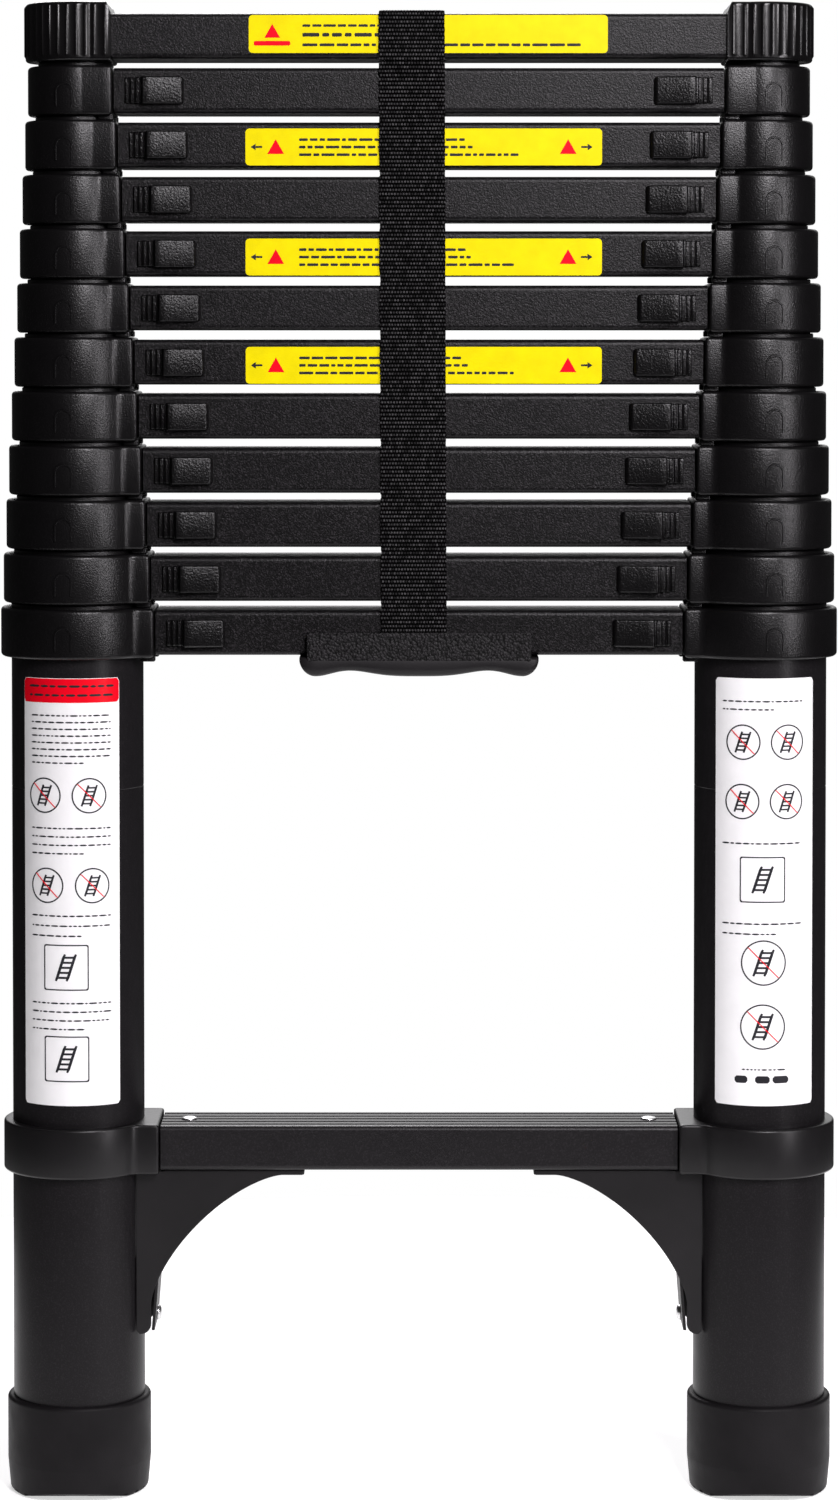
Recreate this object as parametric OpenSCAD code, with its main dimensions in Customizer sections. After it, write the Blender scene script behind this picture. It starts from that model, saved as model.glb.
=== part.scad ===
// Telescoping ladder, closed. Each stile is twelve nested tubes and each pair of tubes carries a rung.
// Level 0 is the top of the base, and levels 1 to 11 are the sliding sections, the slimmest on top.
// The origin is on the floor midway between the stiles: X runs across, Y to the back and Z up.

/* [Stiles] */
// Distance between the axes of the two stiles
stile_spacing = 400; // [396:1:420]
// Outer radius of the base tube
base_tube_r = 38.5; // [38.3:0.1:38.7]
// Step in radius from each tube to the next slimmer one
tube_step = 1.66; // [1.62:0.01:1.7]
// Wall thickness of the tubes
tube_wall = 1.2; // [1:0.05:1.2]
// Distance from the centre of a collar down to the lower end of its tube
tube_drop = 390; // [376:1:395]

/* [Levels] */
// Height of the highest rung of the base
base_rung_z = 505; // [495:1:515]
// Height of the bottom rung
bottom_rung_z = 204; // [196:1:210]
// Rise from one rung to the next with the ladder closed
closed_pitch = 31.4; // [31.4:0.1:33]
// Rise from one rung to the next with the ladder open
open_pitch = 300; // [290:1:302]

/* [Rungs] */
// Depth of a rung from front to back
rung_depth = 46; // [44:0.5:46]
// Height of a rung
rung_height = 26; // [24:0.5:26]
// Wall thickness of a rung
rung_wall = 1.8; // [1.4:0.1:2]
// Number of grooves along each tread
tread_grooves = 5; // [3:1:7]

/* [Collars] */
// Outer radius of the collar at level 0
base_collar_r = 44.6; // [44:0.1:45]
// Height of a collar
collar_height = 28.8; // [28:0.1:28.8]
// Distance from the stile axis to the end of the rung at level 0
base_boss_reach = 47; // [46.5:0.1:47.5]
// How much that distance shrinks from one level to the next
boss_reach_step = 2.34; // [2.2:0.01:2.36]
// Outer radius of the top caps
cap_r = 30.1; // [29.5:0.1:31]
// Height of a top cap above the centre of its rung
cap_rise = 19.5; // [17:0.5:22]

/* [Latches] */
// Radius of a lock pin
pin_r = 4; // [3:0.1:4.2]
// Travel of a latch towards the middle of its rung
latch_travel = 8; // [6:0.5:9]
// Length of a latch along the rung
latch_length = 34; // [33:0.5:36]
// Height of a latch
latch_height = 16; // [14:0.5:17]
// How far the thumb block stands proud of the rung
thumb_rise = 6.2; // [4:0.1:7]

/* [Feet and brackets] */
// Outer radius of a rubber foot
foot_r = 42; // [41:0.1:43]
// Height of a rubber foot
foot_height = 56; // [48:1:62]
// Height of the screw that holds each gusset bracket to its tube
gusset_screw_z = 102.5; // [100:0.5:105]
// How far a gusset bracket reaches along the bottom rung from the stile axis
gusset_reach = 133; // [125:1:140]

/* [Strap and handle] */
// Width of the webbing strap
strap_width = 38; // [30:1:40]
// Thickness of the webbing strap
strap_thickness = 1.6; // [1.2:0.1:1.8]
// Middle of the strap, measured from the middle of the rungs
strap_x = -3.5; // [-8:0.5:8]
// Width of the carry handle
handle_width = 139; // [120:1:150]

/* [Hidden] */
$fn = 96;
TOP = 11;
FIXED_NODES = [
    "main_tubes", "base_rung", "base_collars", "bottom_rung", "bottom_rung_clamps", "gusset_brackets",
    "gusset_screws", "rung_rivets", "rubber_feet", "carry_handle", "carry_strap", "strap_top_flap"
];
SECTION_NODES = [for (level = [1:TOP]) str("section_", level)];
COLLAR_NODES = [for (level = [1:TOP - 1]) str("collars_", level)];
LATCH_NODES = [for (level = [0:TOP - 1], side = ["left", "right"]) str("latch_", side, "_", level)];

// Running gap between one tube and the next, inside the lip of a collar
lip_gap = tube_step - tube_wall;
// Gap between parts that touch but do not slide
fit_gap = 0.2;
// Gap between stacked collars and over the face of a rung
stack_gap = 0.3;
// Extra length that carries a cutting solid through a face
cut = 1;
// Rounding of the edges of collars, caps, clamps and feet
edge = 2.2;

// Collars: how far a tube rises above the centre of its rung, the neck that carries the next collar,
// and the block that joins a collar to its rung, with its two spacers below
tube_seat = 10;
neck_inset = 6;
neck_height = closed_pitch - collar_height - stack_gap;
boss_depth = rung_depth + 8.8;
spigot_length = 12;
spacer_width = 12;
spacer_depth = 8;
// Guide bushes at the lower ends of the sliding tubes
bush_height = 5;
bush_wall = 2;
bush_spigot = 14;
// Top caps: how much closer to the stile their rung ends, and the slope of their upper inner corner
cap_step = 1.5;
cap_ramp = 2.4;

// Treads
rung_corner = 3;
groove_width = 3;
groove_depth = 0.8;
groove_pitch = (rung_depth - 2 * rung_corner) / tread_grooves;

// Latches: offsets are measured from the end of the rung
pin_bore_r = pin_r + 0.4;
latch_offset = 6.8;
ridge_count = 3;
ridge_zone = 8.5;
ridge_rise = 1;
plate_thick = 1.2;
stem_offset = 17;
stem_w = 12;
stem_h = 7;
slot_gap = 0.5;
slot_h = stem_h + 2 * slot_gap;
carrier_offset = spigot_length + 2;
carrier_w = 20;
carrier_h = 15;
carrier_back = 7;

// Clamps of the bottom rung, and the rivets through the rung into them
clamp_r = 43.8;
clamp_reach = 49.2;
clamp_height = 29;
rivet_block = 28;
rivet_block_size = 20;
rivet_x = 135;
rivet_r = 2.4;
rivet_head_r = 4.7;

// Gusset brackets: two side plates, a flange under the rung and a web on the tube
gusset_top_z = bottom_rung_z - rung_height / 2 - fit_gap;
gusset_bottom_z = gusset_screw_z - 8.5;
plate_inner_y = 17;
plate_t = 2;
flange_t = 3.2;
web_x = 43.6;
web_t = 1.8;
web_lean = 3;
web_height = 41;
screw_shank_r = 2.5;
screw_head_r = 4.5;

// Feet: the floor below the base tube, the flat middle of the sole and the slope in front and behind it,
// the grooves across it and the four tread inserts that stand a little proud of it
sole = 9;
sole_flat = 24;
sole_slope = 18.8;
sole_groove_pitch = 8;
sole_groove = [2.4, 2.5];
insert_size = [23, 17];
insert_centre = [16.5, 15.5];
insert_height = 3;
insert_proud = 0.4;

// Strap and handle
strap_gap = 0.4;
strap_front_y = -rung_depth / 2 - strap_gap - strap_thickness;
strap_bottom_z = base_rung_z - rung_height / 2 - strap_gap - strap_thickness;
strap_part_z = level_z(TOP) - rung_height / 2 - 1;
handle_wall = 3.4;
handle_top_z = base_rung_z + 0.5;
grip_bottom_z = base_rung_z - 25.2;

function tube_r(level) = base_tube_r - tube_step * level;
function level_z(level) = base_rung_z + closed_pitch * level;
function collar_r(level) = base_collar_r - tube_step * level;
function neck_r(level) = collar_r(level) - neck_inset;
function cap_inset(level) = level == TOP ? cap_step : 0;
function boss_reach(level) = base_boss_reach - boss_reach_step * min(level, TOP - 1) - cap_inset(level);
function rung_half(level) = stile_spacing / 2 - boss_reach(level) - fit_gap;
function on_circle(r, angle) = r * [cos(angle), sin(angle)];
function arc(centre, r, from, to, steps = 6) =
    [for (i = [0:steps]) centre + on_circle(r, from + (to - from) * i / steps)];

// ---- Shapes that several parts share ----

// Puts its children at the left stile's axis, and their mirror image at the right one
module at_both_stiles() {
    at_stile("left") children();
    at_stile("right") children();
}

module at_stile(side) {
    mirror([side == "right" ? 1 : 0, 0, 0]) translate([-stile_spacing / 2, 0, 0]) children();
}

// A hole from the stile's axis out through its inner side, towards the rung
module cross_hole(r, z, length) {
    translate([0, 0, z]) rotate([0, 90, 0]) cylinder(r = r, h = length);
}

module pipe(outer_r, inner_r, height) {
    difference() {
        cylinder(r = outer_r, h = height);
        translate([0, 0, -cut]) cylinder(r = inner_r, h = height + 2 * cut);
    }
}

// A rounded ring around the stile's axis, centred on z = 0
module round_disc(r, height) {
    h = height / 2;
    rotate_extrude() polygon(concat(
        [[0, -h]],
        arc([r - edge, -h + edge], edge, -90, 0),
        arc([r - edge, h - edge], edge, 0, 90),
        [[0, h]]
    ));
}

module rounded_rect(size, r) {
    square([size[0] - 2 * r, size[1]], center = true);
    square([size[0], size[1] - 2 * r], center = true);
    for (x = [-1, 1], y = [-1, 1]) {
        translate([x * (size[0] / 2 - r), y * (size[1] / 2 - r)]) circle(r = r);
    }
}

// The section of a rung: a hollow with a grooved tread on top. X of the outline is the rung's depth.
module rung_outline() {
    hollow = [rung_depth - 2 * rung_wall, rung_height - 2 * rung_wall];
    difference() {
        rounded_rect([rung_depth, rung_height], rung_corner);
        rounded_rect(hollow, rung_corner - rung_wall / 2);
        for (i = [0:tread_grooves - 1]) {
            translate([(i - (tread_grooves - 1) / 2) * groove_pitch, rung_height / 2])
                square([groove_width, 2 * groove_depth], center = true);
        }
    }
}

module rung_bar(half, z) {
    translate([-half, 0, z]) rotate([90, 0, 90]) linear_extrude(2 * half) rung_outline();
}

// The plug that a collar or clamp puts into the end of a rung
module rung_spigot(reach) {
    depth = rung_depth - 2 * rung_wall - 2 * fit_gap;
    height = rung_height - 2 * rung_wall - 2 * fit_gap;
    corner = 2;
    translate([reach - corner, 0, 0])
        rotate([90, 0, 90])
            linear_extrude(spigot_length + corner)
                rounded_rect([depth, height], corner);
}

// The block that joins a collar to its rung
module boss(reach, height) {
    rotate([90, 0, 90]) linear_extrude(reach) rounded_rect([boss_depth, height], edge);
}

// Cuts a ring off flat where the rung begins
module beyond(reach) {
    size = [base_collar_r, 2 * base_collar_r, 2 * collar_height];
    translate([reach, -size[1] / 2, -size[2] / 2]) cube(size);
}

// ---- Tubes and rungs ----

module tube(level, bottom_z) {
    r = tube_r(level);
    difference() {
        translate([0, 0, bottom_z]) pipe(r, r - tube_wall, level_z(level) + tube_seat - bottom_z);
        if (level < TOP) {
            cross_hole(pin_bore_r, level_z(level), r + cut);
        }
        if (level > 0) {
            cross_hole(pin_bore_r, level_z(level) - open_pitch, r + cut);
        }
        if (level == 0) {
            cross_hole(screw_shank_r, gusset_screw_z, r + cut);
        }
    }
}

// The slots in the front of a rung that its two latches slide in
module latch_slots(level) {
    x = boss_reach(level) + stem_offset - slot_gap;
    at_both_stiles() translate([x, -rung_depth / 2 - cut, level_z(level) - slot_h / 2])
        cube([stem_w + latch_travel + 2 * slot_gap, rung_wall + 2 * cut, slot_h]);
}

module level_rung(level) {
    difference() {
        rung_bar(rung_half(level), level_z(level));
        if (level < TOP) {
            latch_slots(level);
        }
    }
}

module main_tubes() {
    color("#26262a") at_both_stiles() tube(0, sole);
}

module base_rung() {
    color("#2c2b2e") level_rung(0);
}

module section(level) {
    color("#2c2b2e") {
        at_both_stiles() tube(level, level_z(level) - tube_drop);
        level_rung(level);
    }
}

// ---- Collars ----

// The feet under a collar's boss that rest on the collar below
module spacers(level) {
    bottom = -collar_height / 2 - neck_height;
    difference() {
        for (y = [-rung_depth / 2 + 1, rung_depth / 2 - 1 - spacer_depth]) {
            translate([boss_reach(level) - spacer_width, y, bottom])
                cube([spacer_width, spacer_depth, neck_height + edge]);
        }
        translate([0, 0, bottom - cut]) cylinder(r = neck_r(level - 1) + 0.5, h = neck_height + cut);
    }
}

module collar(level) {
    half = collar_height / 2;
    outer = tube_r(level) + fit_gap / 4;
    inner = tube_r(level + 1) + lip_gap;
    translate([0, 0, level_z(level)]) difference() {
        union() {
            difference() {
                round_disc(collar_r(level), collar_height);
                beyond(boss_reach(level));
            }
            cylinder(r = neck_r(level), h = half + neck_height);
            boss(boss_reach(level), collar_height);
            rung_spigot(boss_reach(level));
            spacers(level);
        }
        translate([0, 0, -half - neck_height - cut])
            cylinder(r = outer, h = half + neck_height + cut + tube_seat + fit_gap);
        cylinder(r = inner, h = half + neck_height + cut);
        cross_hole(pin_bore_r, 0, boss_reach(level) + spigot_length + cut);
    }
}

// The bush at the lower end of a sliding tube, which centres it in the tube around it
module guide_bush(level) {
    r = tube_r(level);
    hole_r = r - tube_wall - bush_wall;
    translate([0, 0, level_z(level) - tube_drop - bush_height]) {
        translate([0, 0, -fit_gap / 2]) pipe(r + lip_gap - stack_gap, hole_r, bush_height);
        pipe(r - tube_wall - fit_gap / 4, hole_r, bush_height + bush_spigot);
    }
}

module base_collars() {
    color("#242326") at_both_stiles() collar(0);
}

module collars(level) {
    color("#242326") at_both_stiles() {
        collar(level);
        guide_bush(level);
    }
}

// Seen along Y: all that a top cap leaves free beside and above the end of its rung
module cap_corner(reach) {
    ramp_z = rung_height / 2 + 0.6;
    far_x = base_collar_r;
    far_z = cap_rise + cut;
    polygon([
        [reach, -far_z], [reach, ramp_z], [reach - cap_ramp, cap_rise], [reach - cap_ramp, far_z],
        [far_x, far_z], [far_x, -far_z]
    ]);
}

module top_caps() {
    half = collar_height / 2;
    reach = boss_reach(TOP);
    color("#1c1b1d") at_both_stiles() {
        translate([0, 0, level_z(TOP)]) difference() {
            union() {
                difference() {
                    translate([0, 0, (cap_rise - half) / 2]) {
                        round_disc(cap_r, half + cap_rise);
                        boss(reach, half + cap_rise);
                    }
                    translate([0, cap_r, 0]) rotate([90, 0, 0]) linear_extrude(2 * cap_r) cap_corner(reach);
                }
                rung_spigot(reach);
            }
            translate([0, 0, -half - cut])
                cylinder(r = tube_r(TOP) + fit_gap / 4, h = half + cut + tube_seat + fit_gap);
        }
        guide_bush(TOP);
    }
}

// ---- Latches ----

// One ridge of the thumb slide, at the outer end of its outline
function ridge(i) =
    let (w = ridge_zone / (ridge_count + 0.5), x = i * w, top = -plate_thick - ridge_rise)
    [[x, -plate_thick], [x + 0.3 * w, top], [x + 0.7 * w, top], [x + w, -plate_thick]];

// Outline of the thumb slide seen from above, with the rung's face at y = 0 and its outer end at x = 0
module thumb_outline() {
    chamfer = 0.6;
    crest = [[ridge_zone - chamfer, chamfer - thumb_rise], [ridge_zone + chamfer, -thumb_rise]];
    polygon(concat(
        [[0, 0]],
        [for (i = [0:ridge_count - 1]) each ridge(i)],
        crest,
        [[ridge_zone + 5, chamfer / 2 - thumb_rise]],
        arc([latch_length - 3, -thumb_rise / 2], thumb_rise / 4, -90, 0, 4),
        [[latch_length - 1, 0]]
    ));
}

module latch(side, level) {
    rung_end = boss_reach(level);
    face_y = -rung_depth / 2 - stack_gap;
    carrier_y = -rung_depth / 2 + rung_wall + 1;
    tip = tube_r(level + 1) + 0.6;
    pin_end = rung_end + carrier_offset + carrier_w - 2;
    color("#2f2d30") at_stile(side) translate([0, 0, level_z(level)]) {
        difference() {
            union() {
                translate([rung_end + latch_offset, face_y, -latch_height / 2])
                    linear_extrude(latch_height) thumb_outline();
                translate([rung_end + stem_offset, face_y - plate_thick / 2, -stem_h / 2])
                    cube([stem_w, rung_depth / 4, stem_h]);
                translate([rung_end + carrier_offset, carrier_y, -carrier_h / 2])
                    cube([carrier_w, carrier_back - carrier_y, carrier_h]);
            }
            rotate([0, 90, 0]) cylinder(r = pin_r + fit_gap / 4, h = pin_end);
        }
        translate([tip, 0, 0]) rotate([0, 90, 0]) cylinder(r = pin_r, h = pin_end - tip - fit_gap);
    }
}

// ---- Bottom rung, its clamps and brackets ----

module bottom_rung() {
    half = stile_spacing / 2 - clamp_reach - fit_gap;
    color("#2c2b2e") difference() {
        rung_bar(half, bottom_rung_z);
        for (x = [-rivet_x, rivet_x]) {
            translate([x, 0, bottom_rung_z]) cylinder(r = rivet_r, h = rung_height);
        }
    }
}

module bottom_rung_clamps() {
    color("#242326") at_both_stiles() translate([0, 0, bottom_rung_z]) difference() {
        union() {
            round_disc(clamp_r, clamp_height);
            boss(clamp_reach, clamp_height);
            rung_spigot(clamp_reach);
            translate([clamp_reach, 0, 0])
                rotate([90, 0, 90])
                    linear_extrude(rivet_block)
                        rounded_rect([rivet_block_size, rivet_block_size], edge);
        }
        translate([0, 0, -clamp_height]) cylinder(r = base_tube_r + fit_gap / 4, h = 2 * clamp_height);
        translate([stile_spacing / 2 - rivet_x, 0, 0]) cylinder(r = rivet_r, h = clamp_height);
    }
}

// Side plate of a bracket: a hollow curve from the flange under the rung down to a narrow strip on the tube
module gusset_outline() {
    tube_side = sqrt(pow(base_tube_r, 2) - pow(plate_inner_y, 2)) + fit_gap;
    strip_x = tube_side + 8.7;
    strip_corner = 6;
    strip_height = 18;
    plate_top_z = gusset_top_z - flange_t / 2;
    flange_end = gusset_reach - 2;
    bluntness = 4 / 3;
    curve_run = gusset_reach - 13 - strip_x;
    curve_rise = gusset_top_z - flange_t - gusset_bottom_z - strip_height;
    corner = [strip_x + curve_run, gusset_bottom_z + strip_height];
    polygon(concat(
        [[tube_side, plate_top_z], [tube_side, gusset_bottom_z + 2], [tube_side + 2, gusset_bottom_z]],
        arc([strip_x - strip_corner, gusset_bottom_z + strip_corner], strip_corner, -90, 0),
        [for (t = [0:6:90])
            corner + [-curve_run * pow(cos(t), bluntness), curve_rise * pow(sin(t), bluntness)]],
        [[flange_end, gusset_top_z - flange_t], [flange_end, plate_top_z]]
    ));
}

// The web between the side plates, leaning away from the tube, and the flange under the rung
module gusset_web_and_flange() {
    flange_x = clamp_reach + 1.5;
    bottom_z = gusset_bottom_z + 2;
    top_z = gusset_bottom_z + web_height;
    polygon([
        [web_x, bottom_z], [web_x + web_t, bottom_z],
        [web_x + web_lean + web_t, top_z], [web_x + web_lean, top_z]
    ]);
    translate([flange_x, gusset_top_z - flange_t]) square([gusset_reach - flange_x, flange_t]);
}

module gusset_brackets() {
    color("#242326") at_both_stiles() difference() {
        union() {
            for (y = [-plate_inner_y, plate_inner_y + plate_t]) {
                translate([0, y, 0]) rotate([90, 0, 0]) linear_extrude(plate_t) gusset_outline();
            }
            translate([0, plate_inner_y + cut / 2, 0])
                rotate([90, 0, 0])
                    linear_extrude(2 * plate_inner_y + cut)
                        gusset_web_and_flange();
        }
        cross_hole(screw_shank_r + fit_gap, gusset_screw_z, web_x + 2 * web_lean);
    }
}

module gusset_screws() {
    head_x = web_x + 2.7;
    head_height = 2.2;
    shank_x = base_tube_r - 4;
    color("silver") at_both_stiles() translate([0, 0, gusset_screw_z]) rotate([0, 90, 0]) {
        translate([0, 0, shank_x]) cylinder(r = screw_shank_r - fit_gap / 4, h = head_x - shank_x);
        translate([0, 0, head_x]) cylinder(r1 = screw_head_r, r2 = screw_head_r - 1, h = head_height);
    }
}

module rung_rivets() {
    top = bottom_rung_z + rung_height / 2;
    shank = 8;
    head_height = 1.5;
    color("silver") for (x = [-rivet_x, rivet_x]) {
        translate([x, 0, top]) cylinder(r1 = rivet_head_r, r2 = rivet_head_r - 2, h = head_height);
        translate([x, 0, top - shank]) cylinder(r = rivet_r - fit_gap / 4, h = shank);
    }
}

// ---- Feet ----

// The outer shape of a foot, a little slimmer at the floor
module foot_cup() {
    taper = 1.4;
    floor_edge = 3;
    rotate_extrude() polygon(concat(
        [[0, 0]],
        arc([foot_r - taper - floor_edge, floor_edge], floor_edge, -90, 0),
        [[foot_r, foot_height / 3]],
        arc([foot_r - edge, foot_height - edge], edge, 0, 90),
        [[0, foot_height]]
    ));
}

// All that is cut from the sole, seen along X: its slopes, its grooves and a skim off its flat middle
module sole_cuts() {
    end = foot_r + cut;
    rise = (end - sole_flat) * tan(sole_slope);
    groove = [sole_groove[0], 2 * sole_groove[1]];
    translate([-end, -cut]) square([2 * end, cut + insert_proud]);
    for (side = [-1, 1]) {
        polygon([[side * sole_flat, 0], [side * end, rise], [side * end, 0]]);
        for (i = [0.5:1:3.5]) {
            translate([side * i * sole_groove_pitch, 0]) square(groove, center = true);
        }
    }
}

module tread_inserts(margin) {
    size = insert_size + 2 * margin * [1, 1];
    for (x = [-insert_centre[0], insert_centre[0]], y = [-insert_centre[1], insert_centre[1]]) {
        translate([x, y, 0]) linear_extrude(insert_height) rounded_rect(size, 2);
    }
}

module rubber_feet() {
    color("#1f1e20") at_both_stiles() {
        difference() {
            foot_cup();
            translate([0, 0, sole]) cylinder(r = base_tube_r + fit_gap / 4, h = foot_height);
            translate([-foot_r - cut, 0, 0])
                rotate([90, 0, 90])
                    linear_extrude(2 * foot_r + 2 * cut)
                        sole_cuts();
            tread_inserts(fit_gap);
        }
        tread_inserts(0);
    }
}

// ---- Handle and strap ----

// A stretch of the band round the rungs, between two heights, with its inner outline as the child
module band(bottom_z, top_z) {
    y = -strap_front_y;
    translate([strap_x - strap_width / 2, 0, 0])
        rotate([90, 0, 90])
            linear_extrude(strap_width)
                difference() {
                    translate([-y, bottom_z]) square([2 * y, top_z - bottom_z]);
                    children();
                }
}

module carry_strap() {
    inner_y = -strap_front_y - strap_thickness;
    color("#151416") band(strap_bottom_z, strap_part_z - 0.5)
        translate([-inner_y, strap_bottom_z + strap_thickness]) square([2 * inner_y, strap_part_z]);
}

module strap_top_flap() {
    inner_y = -strap_front_y - strap_thickness;
    inner_top_z = level_z(TOP) + rung_height / 2 + strap_gap;
    color("#151416") band(strap_part_z, inner_top_z + strap_thickness)
        translate([-inner_y, strap_part_z - cut]) square([2 * inner_y, inner_top_z - strap_part_z + cut]);
}

// Lower edge of the grip: a hollow on each side of a swell in the middle, and rounded ends
function grip_edge(x) =
    let (u = abs(x) / (handle_width / 2), hollow = 4, corner = 0.1)
    grip_bottom_z + hollow * pow(sin(180 * pow(u, 0.8)), 2)
        + 12 * pow(max(0, u - 1 + corner) / corner, 3);

module carry_handle() {
    inner_y = -strap_front_y + fit_gap;
    outer_y = inner_y + handle_wall;
    grip_top_z = strap_bottom_z - fit_gap;
    half = handle_width / 2;
    plate_half = half - 4.5;
    lip = 4;
    steps = 24;
    color("#252426") difference() {
        union() {
            translate([0, outer_y, 0]) rotate([90, 0, 0]) linear_extrude(2 * outer_y) polygon(concat(
                [for (i = [-steps:steps]) [i * half / steps, grip_edge(i * half / steps)]],
                [[half, grip_top_z + lip], [-half, grip_top_z + lip]]
            ));
            translate([-plate_half, -outer_y, grip_top_z])
                cube([2 * plate_half, 2 * outer_y, handle_top_z - grip_top_z]);
        }
        translate([-half - cut, -inner_y, grip_top_z])
            cube([2 * half + 2 * cut, 2 * inner_y, rung_height + 2 * cut]);
    }
}

// ---- One line for each node ----

main_tubes();
base_rung();
base_collars();
bottom_rung();
bottom_rung_clamps();
gusset_brackets();
gusset_screws();
rung_rivets();
rubber_feet();
carry_handle();
carry_strap();
strap_top_flap();
top_caps();
for (level = [1:TOP]) {
    section(level);
}
for (level = [1:TOP - 1]) {
    collars(level);
}
for (level = [0:TOP - 1], side = ["left", "right"]) {
    latch(side, level);
}
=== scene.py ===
"""Telescoping ladder, closed, built around its CAD frame. Lengths are in metres.

Most pieces are made beside a stile: x runs from the stile's axis towards the rungs, and place() puts
them at the left stile (side -1) or, mirrored, at the right one (side +1).
"""

import math
import random

import bpy
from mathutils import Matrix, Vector


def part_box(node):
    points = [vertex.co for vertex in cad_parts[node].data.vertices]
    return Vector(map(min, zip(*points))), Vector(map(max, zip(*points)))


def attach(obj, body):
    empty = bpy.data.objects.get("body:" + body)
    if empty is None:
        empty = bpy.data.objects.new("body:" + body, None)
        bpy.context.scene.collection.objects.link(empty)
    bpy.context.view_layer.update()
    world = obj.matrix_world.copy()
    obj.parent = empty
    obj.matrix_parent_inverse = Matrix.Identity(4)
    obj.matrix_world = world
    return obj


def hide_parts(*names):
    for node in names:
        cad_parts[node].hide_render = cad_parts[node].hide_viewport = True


# ---- Camera ----

CAMERA_DISTANCE = 2.4
CAMERA_HEIGHT = 0.683
TILT_DEGREES = 1.94
FOCAL_LENGTH_MM = 98.53
SENSOR_WIDTH_MM = 36
LENS_SHIFT = -0.19

camera_data = bpy.data.cameras.new("camera")
camera_data.lens = FOCAL_LENGTH_MM
camera_data.sensor_width = SENSOR_WIDTH_MM
camera_data.shift_y = LENS_SHIFT
camera = bpy.data.objects.new("camera", camera_data)
camera.location = (0, -CAMERA_DISTANCE, CAMERA_HEIGHT)
camera.rotation_euler = (math.radians(90 - TILT_DEGREES), 0, 0)
bpy.context.scene.collection.objects.link(camera)
bpy.context.scene.camera = camera

# ---- The frame and the sizes read from it ----

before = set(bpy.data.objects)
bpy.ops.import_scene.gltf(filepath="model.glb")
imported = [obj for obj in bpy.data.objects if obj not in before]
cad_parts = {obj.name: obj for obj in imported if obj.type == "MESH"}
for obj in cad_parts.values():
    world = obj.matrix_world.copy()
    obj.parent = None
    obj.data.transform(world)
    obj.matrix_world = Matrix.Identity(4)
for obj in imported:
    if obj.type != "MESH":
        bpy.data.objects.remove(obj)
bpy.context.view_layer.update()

MM = 0.001
TOP = 11
SIDES = (-1, 1)
TUBE_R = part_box("main_tubes")[1].y
STILE_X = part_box("main_tubes")[1].x - TUBE_R
RUNG_HALF_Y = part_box("base_rung")[1].y
RUNG_HALF_Z = (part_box("base_rung")[1].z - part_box("base_rung")[0].z) / 2
BASE_Z = (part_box("base_rung")[0].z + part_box("base_rung")[1].z) / 2
BOTTOM_Z = (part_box("bottom_rung")[0].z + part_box("bottom_rung")[1].z) / 2
PITCH = (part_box("latch_left_10")[1].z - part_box("latch_left_0")[1].z) / 10

# Each tube is one step slimmer in radius than the one that it slides in.
TUBE_STEP = 1.66 * MM
TUBE_WALL = 1.2 * MM
COLLAR_HALF = 14.4 * MM
BOSS_HALF_Y = 27.4 * MM
BOSS_FILLET = 7 * MM

# From the end of a rung to the inner end of its latch.
LATCH_END = 39.8 * MM

# The dark line between a boss and its rung.
JOINT_GAP = 0.9 * MM

# Room round a tube in its collar, and the height above the rung's middle at which the tube ends there.
BORE_GAP = 0.05 * MM
TUBE_END = 10 * MM


def body(level):
    return "base" if level == 0 else f"sliding_section_{level}"


def level_z(level):
    return BASE_Z + PITCH * level


def tube_r(level):
    return TUBE_R - TUBE_STEP * level


def collar_node(level):
    return {0: "base_collars", TOP: "top_caps"}.get(level, f"collars_{level}")


def rung_end(level):
    """Distance from the stile's axis to the end of the rung."""
    longer_at_top = 1.5 * MM
    if level == TOP:
        return rung_end(TOP - 1) - longer_at_top
    return STILE_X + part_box(f"latch_left_{level}")[1].x - LATCH_END


# ---- Mesh helpers ----


def lerp(a, b, t):
    return a + (b - a) * t


def steps(start, stop, count):
    """count + 1 values from start to stop."""
    return [lerp(start, stop, i / count) for i in range(count + 1)]


def arc(cx, cy, r, start, stop, count=6):
    angles = [math.radians(a) for a in steps(start, stop, count)]
    return [(cx + r * math.cos(a), cy + r * math.sin(a)) for a in angles]


def rounded(x0, y0, x1, y1, r, count=5):
    """A rectangle with round corners."""
    centres = ((x1 - r, y1 - r), (x0 + r, y1 - r), (x0 + r, y0 + r), (x1 - r, y0 + r))
    outline = []
    for i, (cx, cy) in enumerate(centres):
        outline += arc(cx, cy, r, 90 * i, 90 * i + 90, count)
    return outline


def loft(loops, ring=False):
    """A skin over loops of equally many points. ring joins the last to the first, or both get a cap."""
    n = len(loops[0])
    verts = [p for loop in loops for p in loop]
    rows = len(loops) if ring else len(loops) - 1
    faces = []
    for i in range(rows):
        a, b = i * n, (i + 1) % len(loops) * n
        faces += [(a + j, a + (j + 1) % n, b + (j + 1) % n, b + j) for j in range(n)]
    if not ring:
        faces += [tuple(range(n))[::-1], tuple(range((len(loops) - 1) * n, len(loops) * n))]
    return verts, faces


def lathe(profile, count, closed=True):
    """Turns an outline of (radius, z) points about the z axis. An open one gets flat ends."""
    angles = [math.tau * i / count for i in range(count)]
    loops = [[(r * math.cos(a), r * math.sin(a), z) for a in angles] for r, z in profile]
    return loft(loops, ring=closed)


def prism(outline, y0, y1):
    """An outline of (x, z) points drawn out from y0 to y1."""
    return loft([[(x, y0, z) for x, z in outline], [(x, y1, z) for x, z in outline]])


def at_height(outline, z):
    return [(x, y, z) for x, y in outline]


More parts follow.
